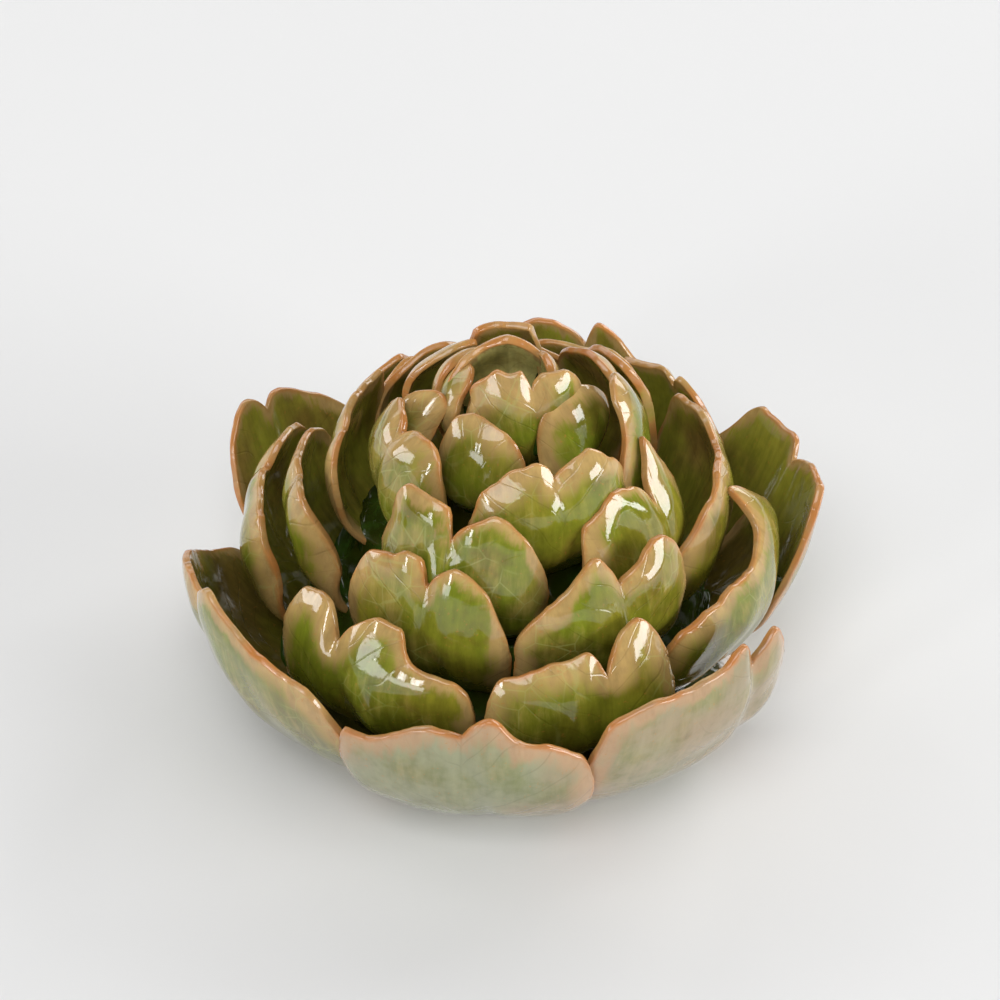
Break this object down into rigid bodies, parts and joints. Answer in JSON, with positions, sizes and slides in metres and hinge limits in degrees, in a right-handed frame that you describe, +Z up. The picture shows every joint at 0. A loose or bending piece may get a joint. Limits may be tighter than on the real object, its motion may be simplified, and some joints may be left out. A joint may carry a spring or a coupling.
{
  "type": "ceramic artichoke ornament",
  "caption": "Artichoke ornament in glazed ceramic: rings of upright notched petals fused on a domed core that stands on a flat foot.",
  "frame": {"origin": "centre of the flat foot that the ornament stands on", "axes": "+Z up along the head's axis, -Y towards the side with the low front petal, +X to its right"},
  "size_m": [0.1114, 0.1094, 0.0684],
  "materials": {
    "glaze": "glossy olive-green glaze that breaks to tan on the rims"
  },
  "bodies": {
    "root": {"head": "glaze"}
  },
  "joints": []
}
